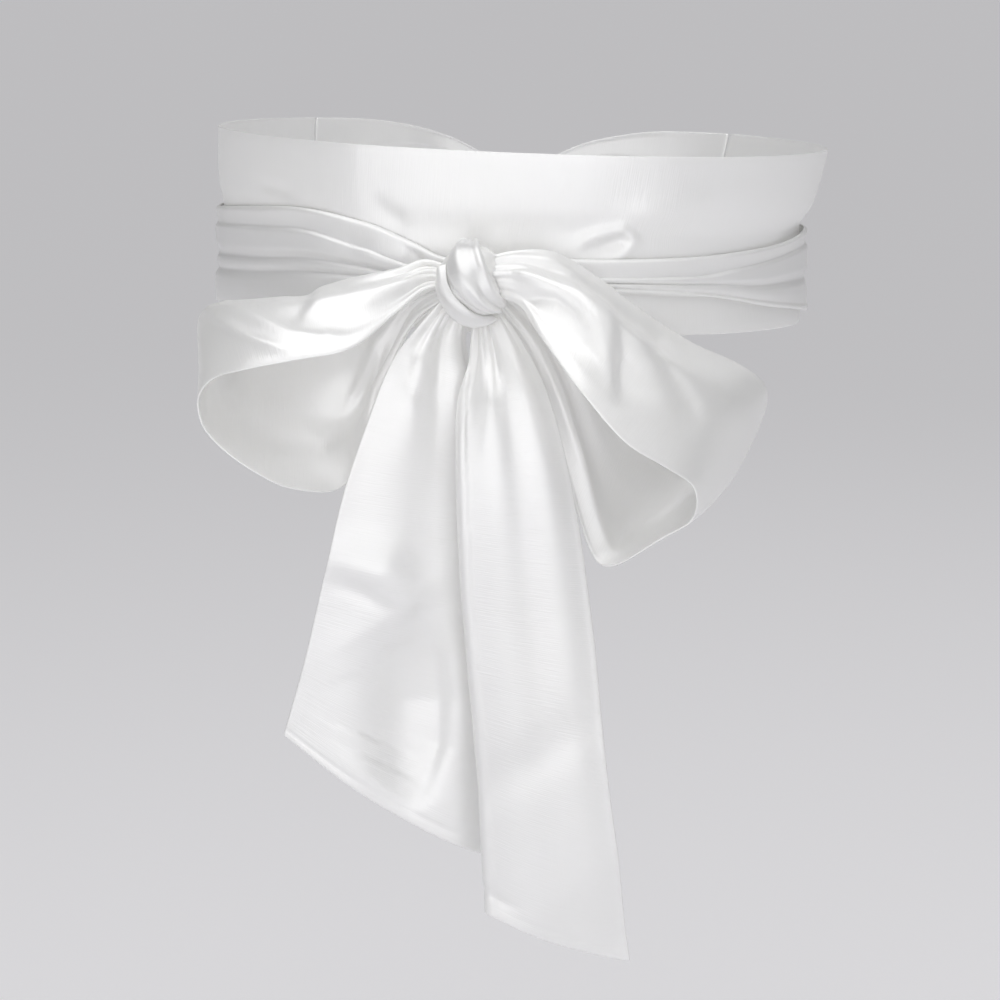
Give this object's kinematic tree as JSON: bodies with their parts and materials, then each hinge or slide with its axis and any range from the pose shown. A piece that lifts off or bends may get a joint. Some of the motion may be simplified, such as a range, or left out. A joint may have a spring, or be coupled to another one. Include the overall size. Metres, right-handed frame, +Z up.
{
  "type": "ribbon belt",
  "caption": "Wide satin sash worn round the waist: smooth across the front, its ties cross at the back, come round the sides and are tied in a bow with hanging tails.",
  "frame": {"origin": "middle of the waist opening, at about half the height of the panel", "axes": "+Z up through the waist opening, -Y towards the bow at the front, +X towards the viewer's right when facing the bow"},
  "size_m": [0.2619, 0.2428, 0.3339],
  "materials": {
    "satin": "satin"
  },
  "bodies": {
    "root": {"front_panel": "satin", "left_tie": "satin", "right_tie": "satin", "left_loop": "satin", "right_loop": "satin", "left_tail": "satin", "right_tail": "satin", "knot_core": "satin", "knot_band": "satin", "knot_underwrap": "satin"}
  },
  "joints": []
}
